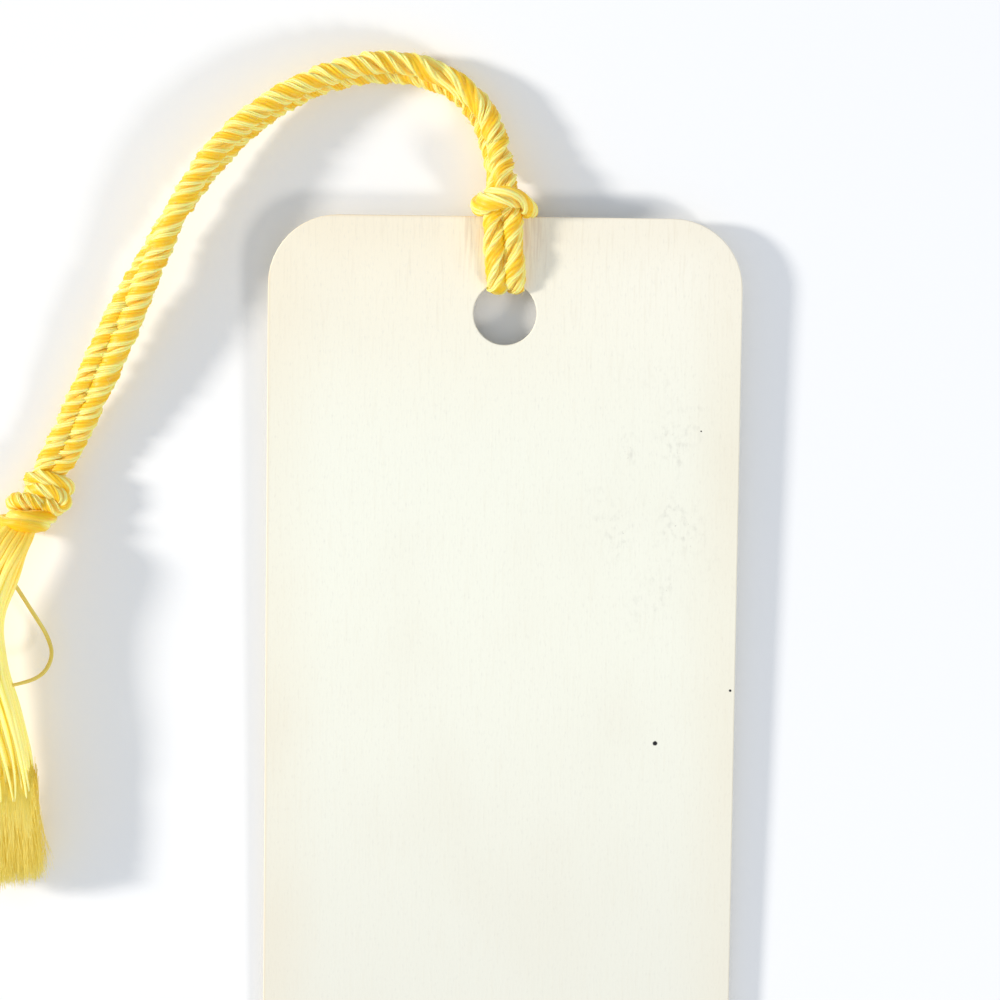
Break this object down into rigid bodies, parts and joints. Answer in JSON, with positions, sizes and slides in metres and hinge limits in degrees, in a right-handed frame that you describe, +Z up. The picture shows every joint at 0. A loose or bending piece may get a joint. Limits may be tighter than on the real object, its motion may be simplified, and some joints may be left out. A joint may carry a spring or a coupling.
{
  "type": "bookmark",
  "caption": "Plain cream card bookmark with rounded corners and a punched hole, hung with a twisted yellow cord tied by a lark's head hitch and ending in a knot and tassel.",
  "frame": {"origin": "on the table, under the middle of the card's outline", "axes": "+Y along the card towards its corded end, +Z up from the table out of the card's face, +X to the right of the face"},
  "size_m": [0.0785, 0.1685, 0.0071],
  "materials": {
    "card_stock": "matte",
    "cord_rayon": "satin",
    "frayed_rayon": "matte"
  },
  "bodies": {
    "card": {"card": "card_stock", "hitch_leg_left": "cord_rayon", "hitch_leg_right": "cord_rayon", "hitch_bight": "cord_rayon"},
    "cord_neck": {"neck_left": "cord_rayon", "neck_right": "cord_rayon"},
    "cord_tail": {"tail_left": "cord_rayon", "tail_right": "cord_rayon", "tassel_knot": "cord_rayon"},
    "tassel": {"tassel_ply_1": "cord_rayon", "tassel_ply_2": "cord_rayon", "tassel_ply_3": "cord_rayon", "tassel_ply_4": "cord_rayon", "frayed_end_1": "frayed_rayon", "frayed_end_2": "frayed_rayon", "frayed_end_3": "frayed_rayon", "frayed_end_4": "frayed_rayon", "stray_yarn": "cord_rayon"}
  },
  "joints": [
    {"name": "cord_flip", "type": "hinge", "parent": "card", "child": "cord_neck", "pos_m": [0, 0.08099, 0.00385], "axis": [0, 1, 0], "range_deg": [0, 180], "deforming": ["neck_left", "neck_right"]},
    {"name": "cord_swing", "type": "hinge", "parent": "cord_neck", "child": "cord_tail", "pos_m": [-0.0017, 0.08539, 0.00385], "axis": [0, 0, 1], "range_deg": [-110, 5], "deforming": ["neck_left", "neck_right"]},
    {"name": "tassel_swing", "type": "hinge", "parent": "cord_tail", "child": "tassel", "pos_m": [-0.0475, 0.04469, 0.00275], "axis": [0, 0, 1], "range_deg": [-30, 20]}
  ]
}
